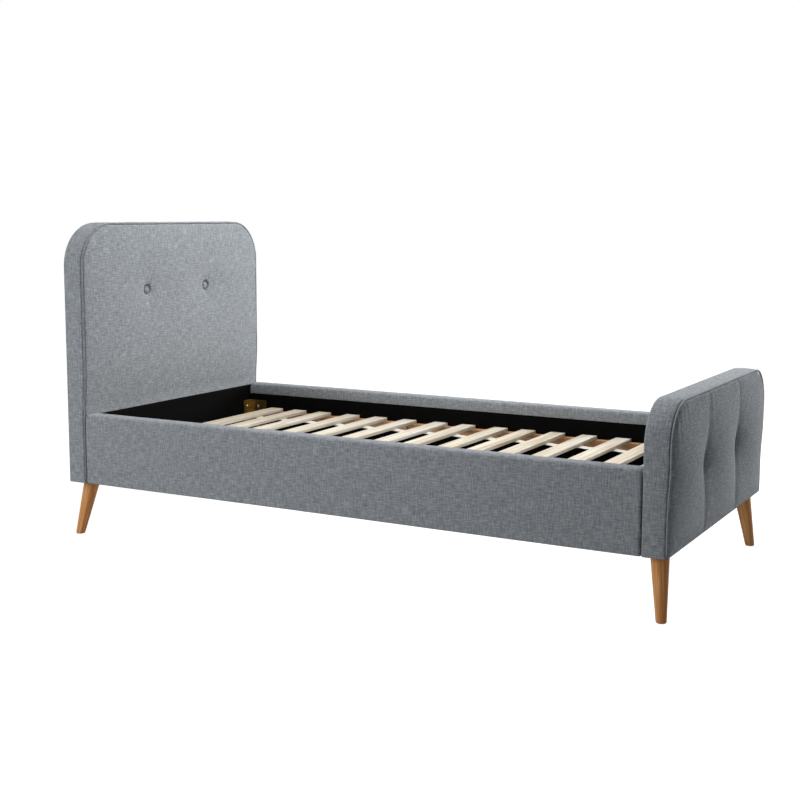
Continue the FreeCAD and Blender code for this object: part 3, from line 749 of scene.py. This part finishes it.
def foot_face(y, z):
    """Relief of the footboard's outer face: three puffed panels and two deep tufts."""
    inset = foot.inside(y, z)
    seam_y, level = foot.tufts[1]  # between the middle and a side panel
    gather_low = 420 * MM  # lowest Z of the gathers
    height = sample(foot_swell, y, z)
    height -= seam_roll(inset, 5.8 * MM, 13 * MM, 9.8 * MM, 6 * MM)
    wander = 0.9 * np.sin(y / (37 * MM) + 1) + 0.8 * np.sin(y / (61 * MM))

    side_share = (np.abs(y) - seam_y) / (HALF_WIDTH - seam_y)
    share = np.where(side_share > 0, side_share, 0.5 + 0.5 * y / seam_y)
    puff = 4 * np.clip(share * (1 - share), 0, 1)
    upward = (z - level) / (foot.top - level)
    downward = (level - z) / (level - foot.bottom)
    strength = np.where(z > level, 1 - 0.88 * smooth_step(upward), 1 - 0.4 * smooth_step(downward))
    hem = smooth_step((z - foot.bottom) / (45 * MM))
    height += 9.5 * MM * puff * strength * (0.15 + 0.85 * hem)

    gathers = np.sin(2 * math.pi * y / (29 * MM) + wander) + 0.4 * np.sin(y / (7.3 * MM) + 2)
    height += 0.9 * MM * gathers * np.exp(-np.maximum(inset - 6 * MM, 0) / (34 * MM)) \
        * smooth_step((inset - 6 * MM) / (7 * MM)) * smooth_step((z - gather_low) / (50 * MM))
    above_hem = z - foot.bottom
    height += 0.8 * MM * np.sin(2 * math.pi * y / (24 * MM) + wander + 2) \
        * np.exp(-above_hem / (34 * MM)) * smooth_step((inset - 6 * MM) / (30 * MM))
    for tuft_y, tuft_z in foot.tufts:
        up = z - tuft_z
        across = y - tuft_y - 4 * MM * np.sin(up / (55 * MM))
        away = np.hypot(across, up)
        close = np.exp(-np.abs(up) / (34 * MM))
        wide = (20 - 11 * close) * MM
        deep = (2.0 + 6.5 * close) * MM * (0.55 + 0.45 * smooth_step(above_hem / (60 * MM)))
        height -= deep * np.exp(-(across / wide) ** 2)
        height -= 12 * MM * np.exp(-(away / (12 * MM)) ** 2)
    return height


def plain_back(y, z):
    """A back panel's cloth: drawn tight, with the faintest unevenness."""
    return 0.5 * MM + 0.3 * MM * ripple(y, z, 5, 0.3)


head_cover = board_piece(head, head_face, plain_back, lining_on="face",
                         band_bulge=0.8 * MM, fine=(26 * MM, 1.9 * MM))
foot_cover = board_piece(foot, foot_face, plain_back, lining_on="back",
                         band_bulge=1.8 * MM, fine=(30 * MM, 2.6 * MM))
head_welt = welt(head, radius=2.6 * MM, inset=2.7 * MM, depth=4.0 * MM)
foot_welt = welt(foot, radius=2.8 * MM, inset=2.8 * MM, depth=4.2 * MM)
head_buttons = buttons(head, wide=26 * MM, high=8 * MM, depth=11 * MM)
foot_buttons = buttons(foot, wide=20 * MM, high=6 * MM, depth=27 * MM)


# ---------------- side rails
def rail_section():
    """Corners of a rail's section, as (depth behind the outer face, height), and their cloth."""
    low, high, thick = UNDERSIDE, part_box("left_rail_cover")[1].z, RAIL_THICK
    fold = high - 40 * MM
    points, kinds = [], []

    def add(depth, height, kind=0):
        points.append((depth, height))
        kinds.append(kind)

    def arc(depth, height, radius, start, end, steps):
        for turn in np.radians(np.linspace(start, end, steps)):
            add(depth + radius * math.cos(turn), height + radius * math.sin(turn))

    arc(5 * MM, low + 5 * MM, 5 * MM, 270, 180, 5)
    for share in np.linspace(0, 1, 30)[1:-1]:
        bulge = 1.6 * MM * math.sin(math.pi * share) ** 0.8
        add(-bulge, low + 5 * MM + share * (high - low - 16 * MM))
    arc(11 * MM, high - 11 * MM, 11 * MM, 180, 90, 8)
    for share in np.linspace(0, 1, 6)[1:-1]:
        add(11 * MM + share * (thick - 20 * MM), high + 0.9 * MM * math.sin(math.pi * share))
    arc(thick - 9 * MM, high - 9 * MM, 9 * MM, 90, 0, 7)
    for share in np.linspace(0, 1, 6)[1:]:
        add(thick + 0.7 * MM * math.sin(math.pi * share),
            high - 9 * MM + share * (fold + 1.3 * MM - high + 9 * MM))
    add(thick - 0.5 * MM, fold + 0.3 * MM)
    add(thick - 1.6 * MM, fold)
    add(thick - 2.9 * MM, fold + 1.5 * MM, 1)
    for share in np.linspace(0, 1, 5):
        add(thick - 3.0 * MM, fold + share * (low + 3 * MM - fold), 1)
    add(thick - 5 * MM, low, 1)
    for share in np.linspace(0, 1, 5)[1:-1]:
        add(thick - 5 * MM - share * (thick - 22 * MM), low, 1 if share < 0.7 else 0)
    return np.array(points), kinds


def rail_piece(side, sign):
    """One padded side rail, rounded at both ends where it meets the boards."""
    section, kinds = rail_section()
    low, high = section[:, 1].min(), section[:, 1].max()
    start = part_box("headboard_cover")[1].x + 0.6 * MM
    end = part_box("footboard_cover")[0].x - 3.2 * MM
    soft = np.array([0, 0.5, 1.4, 2.8, 4.6, 7, 10, 14, 19]) * MM
    stations = np.concatenate([start + soft, np.linspace(start + 26 * MM, end - 26 * MM, 220),
                               end - soft[::-1]])
    rings = []
    middle = RAIL_THICK / 2
    for x in stations:
        from_end = min(x - start, end - x)

        def eased(radius):
            share = 1 - min(from_end / radius, 1)
            return radius * (1 - math.sqrt(1 - share * share))

        side_inset, top_inset = eased(8 * MM), eased(15 * MM)
        share_up = (section[:, 1] - low) / (high - low)
        depth = middle + (section[:, 0] - middle) * (1 - side_inset / middle)
        height = section[:, 1] - top_inset * share_up ** 3
        height = height - 3.5 * MM * smooth_step((x + 0.4) / 1.3) * (1 - share_up) ** 2
        face = np.clip((20 * MM - section[:, 0]) / (20 * MM), 0, 1)
        depth = depth - 0.45 * MM * face * ripple(x, section[:, 1], 21 + sign, 0.16)
        height = height + 0.3 * MM * share_up * ripple(x, 0 * share_up, 31 + sign, 0.25)
        y = sign * (HALF_WIDTH - depth)
        rings.append(np.stack([np.full(len(y), x), y, height], -1))
    return loft(f"{side}_rail_upholstery", rings, [GREY, LINING], ring_materials=kinds,
                lengths=stations - stations[0])


# ---------------- linings and tapes
def sheet_piece(name, first, second, place, thick, material):
    """A thin closed sheet over two sets of grid lines, thick along a direction."""
    grid = np.array([[place(a, b) for a in first] for b in second])
    rows, columns = grid.shape[:2]
    thick = np.array(thick)
    points = np.concatenate([grid.reshape(-1, 3), (grid + thick).reshape(-1, 3)])
    ids = np.arange(rows * columns).reshape(rows, columns)
    top = quads(ids)[0]
    under = [tuple(i + rows * columns for i in face[::-1]) for face in top]
    edge = np.concatenate([ids[0], ids[1:, -1], ids[-1, -2::-1], ids[-2:0:-1, 0]])
    rim = quads(np.array([edge + rows * columns, edge]), closed=True)[0]
    flat = np.array([[(a, b) for a in first] for b in second]).reshape(-1, 2)
    faces = top + under + rim
    weave = [flat[i % (rows * columns)] for face in faces for i in face]
    made = mesh_object(name, points, faces, weave, [material])
    tidy_normals(made)
    return made


def board_lining(board, on_face):
    """The black cloth on the lower part of a board's bed side."""
    direction = 1 if on_face else -1
    surface = board.face if on_face else board.back
    ys = np.linspace(-LINING_HALF + 1 * MM, LINING_HALF - 1 * MM, 120)
    zs = np.linspace(UNDERSIDE + 1 * MM, SILL_TOP - 0.6 * MM, 26)

    def place(y, z):
        slack = 0.5 * MM * (1 + ripple(y, z, 17, 0.14) / 2)
        return (surface - direction * (0.3 * MM + slack), y, z)

    return sheet_piece(f"{board.name}_lining_cloth", ys, zs, place,
                       (-direction * 0.8 * MM, 0, 0), LINING)


def rail_lining(side, sign):
    """The black cloth on the inner face of a rail, below the grey turn-down."""
    low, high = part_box(f"{side}_rail_lining")
    inner = HALF_WIDTH - RAIL_THICK
    xs = np.linspace(low.x + 0.5 * MM, high.x - 0.5 * MM, 200)
    zs = np.linspace(UNDERSIDE + 1 * MM, high.z - 0.2 * MM, 20)

    def place(x, z):
        slack = 0.5 * MM * (1 + ripple(x, z, 19, 0.15) / 2)
        return (x, sign * (inner + 0.3 * MM + slack), z)

    return sheet_piece(f"{side}_rail_lining_cloth", xs, zs, place, (0, sign * 0.8 * MM, 0), LINING)


def tape_piece(side):
    """A woven tape stapled under the slats, which hangs a little slack between them."""
    low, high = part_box(f"{side}_slat_tape")
    slats = [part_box(f"slat_{i:02d}") for i in range(1, 16)]
    xs = np.linspace(low.x, high.x, 400)
    ys = np.linspace(low.y, high.y, 5)

    def place(x, y):
        drop = 0.0
        for before, after in zip(slats, slats[1:]):
            start, end = before[1].x, after[0].x
            if start < x < end:
                share = (x - start) / (end - start)
                drop = 4 * share * (1 - share) * 3.0 * MM
        return (x, y, high.z - 0.15 * MM - drop)

    return sheet_piece(f"{side}_tape_webbing", xs, ys, place, (0, 0, -1.1 * MM), TAPE)


# ---------------- legs
LEG_BOTTOM = (1010 * MM, 471.5 * MM)  # |X| and |Y| of a leg's axis at the floor
LEG_TOP = (988 * MM, 428.5 * MM)  # and at the timber above
LEG_RADIUS, LEG_TAPER = 14.5, 12  # mm: radius at the floor, and growth to the top


def leg_piece(end, side):
    """A splayed round leg: level at both ends, with softly broken edges."""
    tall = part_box(f"{end}_{side}_leg")[1].z
    x_sign = -1 if end == "head" else 1
    y_sign = 1 if side == "left" else -1
    bottom = Vector((x_sign * LEG_BOTTOM[0], y_sign * LEG_BOTTOM[1], 0))
    top = Vector((x_sign * LEG_TOP[0], y_sign * LEG_TOP[1], tall))
    axis = (top - bottom).normalized()
    lean = Vector((axis.x, axis.y, 0)).normalized()
    stretch = 1 / axis.z
    cross = Vector((0, 0, 1)).cross(lean)
    end_height = tall / MM
    shaft = list(np.linspace(8, end_height - 5, 26))
    heights = [0, 0, 0.4, 1.4, 3.0] + shaft + [end_height - 2, end_height, end_height]
    cuts = [9, 2.6, 1.5, 0.5, 0.0] + [0.0] * len(shaft) + [0.0, 1.5, 12]
    rings, run = [], []
    for height, cut in zip(heights, cuts):
        share = height * MM / tall
        centre = bottom.lerp(top, share)
        radius = (LEG_RADIUS + LEG_TAPER * share - cut) * MM
        ring = []
        for turn in np.linspace(0, 2 * math.pi, 56, endpoint=False):
            point = centre + lean * (radius * stretch * math.cos(turn)) \
                + cross * (radius * math.sin(turn))
            ring.append(tuple(point))
        rings.append(ring)
        run.append(height * MM * stretch)
    return loft(f"{end}_{side}_turned_leg", rings, [HONEY], lengths=np.array(run))


# ---------------- assembly
def finish_piece(piece, body, slot_name, *stands_for):
    """Put a piece on its body and hide the CAD nodes it stands for. slot_name is not used."""
    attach(piece, body)
    if stands_for:
        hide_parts(*stands_for)


HIDDEN = ["bottom_rail", "left_post", "right_post", "top_rail", "outer_panel", "inner_panel",
          "foam", "cover"]
for cover, board in ((head_cover, "headboard"), (foot_cover, "footboard")):
    finish_piece(cover, "frame", "grey_fabric", *[f"{board}_{part}" for part in HIDDEN])
for piping in (head_welt, foot_welt):
    finish_piece(piping, "frame", "grey_fabric")
finish_piece(head_buttons, "frame", "grey_fabric", "headboard_buttons")
finish_piece(foot_buttons, "frame", "grey_fabric", "footboard_buttons")

for cloth_side, cloth_sign in (("left", 1), ("right", -1)):
    rail = rail_piece(cloth_side, cloth_sign)
    finish_piece(rail, "frame", "grey_fabric",
                 *[f"{cloth_side}_{part}" for part in ("side_rail", "rail_foam", "rail_cover")])
    cloth = rail_lining(cloth_side, cloth_sign)
    finish_piece(cloth, "frame", "black_lining", f"{cloth_side}_rail_lining")
    tape = tape_piece(cloth_side)
    finish_piece(tape, "slat_base", "webbing", f"{cloth_side}_slat_tape")

for board, on_face, cover in ((head, True, head_cover), (foot, False, foot_cover)):
    cloth = board_lining(board, on_face)
    finish_piece(cloth, "frame", "black_lining", f"{board.name}_lining")

for leg_end in ("head", "foot"):
    for leg_side in ("left", "right"):
        leg = leg_piece(leg_end, leg_side)
        finish_piece(leg, "frame", "honey_oak", f"{leg_end}_{leg_side}_leg")
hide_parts("leg_bolts", "leg_nuts")


def paint(material, *names):
    """Give CAD nodes a material."""
    for name in names:
        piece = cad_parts[name]
        piece.data.materials.clear()
        piece.data.materials.append(material)


paint(CREAM, *[f"slat_{i:02d}" for i in range(1, 16)])
paint(TAN, "left_bearer", "right_bearer")
paint(GOLD, *[f"{e}_{s}_bracket" for e in ("head", "foot") for s in ("left", "right")])
paint(ZINC, "bracket_screws", "bearer_screws")


# ---------------- floor, light and camera
def floor_disc():
    """A wide pale floor that looks a little brighter further out."""
    radii, sides = (0.01, 4, 12, 30), 64
    rings = []
    for radius in radii:
        rings.append([(radius * math.cos(a), radius * math.sin(a), -0.2 * MM)
                      for a in np.linspace(0, 2 * math.pi, sides, endpoint=False)])
    ids = np.arange(len(radii) * sides).reshape(len(radii), sides)
    faces = quads(ids, closed=True)[0]
    faces.append(tuple(ids[0][::-1]))
    points = [p for ring in rings for p in ring]
    material, tree, shader = new_material("pale_floor", Roughness=0.9, Specular_IOR_Level=0.0)
    shader.inputs["Emission Color"].default_value = (1, 1, 1, 1)
    seen = node(tree, "LightPath").outputs["Is Camera Ray"]
    place = node(tree, "TexCoord").outputs["Object"]
    away = node(tree, "VectorMath", {"operation": "LENGTH"}, i0=place).outputs["Value"]
    glow = span(tree, away, 1.5, 3.5, 0.89, 0.99)
    tree.links.new(span(tree, seen, 0.0, 1.0, 0.085, glow), shader.inputs["Emission Strength"])
    tree.links.new(ramp(tree, noise(tree, place, 3, 2), (0.3, (0.34, 0.34, 0.34, 1)),
                        (0.7, (0.36, 0.36, 0.36, 1))), shader.inputs["Base Color"])
    made = mesh_object("floor", points, faces,
                       [points[v][:2] for face in faces for v in face], [material])
    tidy_normals(made)
    return made


floor_disc()

world = bpy.data.worlds.new("studio")
bpy.context.scene.world = world
world.use_nodes = True
sky = world.node_tree
background = sky.nodes["Background"]
seen = node(sky, "LightPath").outputs["Is Camera Ray"]
AMBIENT = 0.15
sky.links.new(span(sky, seen, 0.0, 1.0, AMBIENT, 1.0), background.inputs["Strength"])
background.inputs["Color"].default_value = (1, 1, 1, 1)


def area_light(name, place, aim, size, power):
    """A white square soft box aimed at a point."""
    data = bpy.data.lights.new(name, "AREA")
    data.shape = "SQUARE"
    data.size = size
    data.energy = power
    lamp = bpy.data.objects.new(name, data)
    lamp.location = place
    lamp.rotation_mode = "QUATERNION"
    lamp.rotation_quaternion = (Vector(aim) - Vector(place)).to_track_quat("-Z", "Y")
    bpy.context.scene.collection.objects.link(lamp)


area_light("over_light", (0.1, 0.3, 2.4), (-0.2, 0.0, 0.3), 1.4, 46)
area_light("key_light", (0.35, -1.9, 2.5), (-0.7, -0.2, 0.6), 1.2, 6)
area_light("left_light", (-2.4, -3.2, 1.5), (-0.6, -0.5, 0.5), 1.6, 69)
area_light("rim_light", (1.9, 3.2, 1.3), (1.0, 0.2, 0.4), 0.9, 104)
area_light("far_light", (0.6, 1.8, 2.2), (-0.9, 0.0, 0.7), 1.2, 10)
area_light("low_light", (-0.1, -2.4, 0.7), (-0.1, -0.5, 0.3), 0.8, 5)

AZIMUTH, ELEVATION, ROLL = math.radians(28.86), math.radians(7.49), math.radians(0.12)
camera_data = bpy.data.cameras.new("camera")
camera_data.sensor_width = 36  # mm, as is the lens
camera_data.lens = 59.346
camera_data.shift_x, camera_data.shift_y = 0.006375, -0.017375  # of the frame's width
camera = bpy.data.objects.new("camera", camera_data)
toward = Vector((math.sin(AZIMUTH) * math.cos(ELEVATION),
                 -math.cos(AZIMUTH) * math.cos(ELEVATION), math.sin(ELEVATION)))
level = Vector((math.cos(AZIMUTH), math.sin(AZIMUTH), 0))
upward = toward.cross(level)
turned = Matrix((level, upward, toward)).transposed().to_4x4()
EYE = (2.0244, -3.7769, 1.0761)
camera.matrix_world = Matrix.Translation(EYE) @ turned \
    @ Matrix.Rotation(ROLL, 4, "Z")
bpy.context.scene.collection.objects.link(camera)
bpy.context.scene.camera = camera
bpy.context.scene.view_settings.view_transform = "Standard"
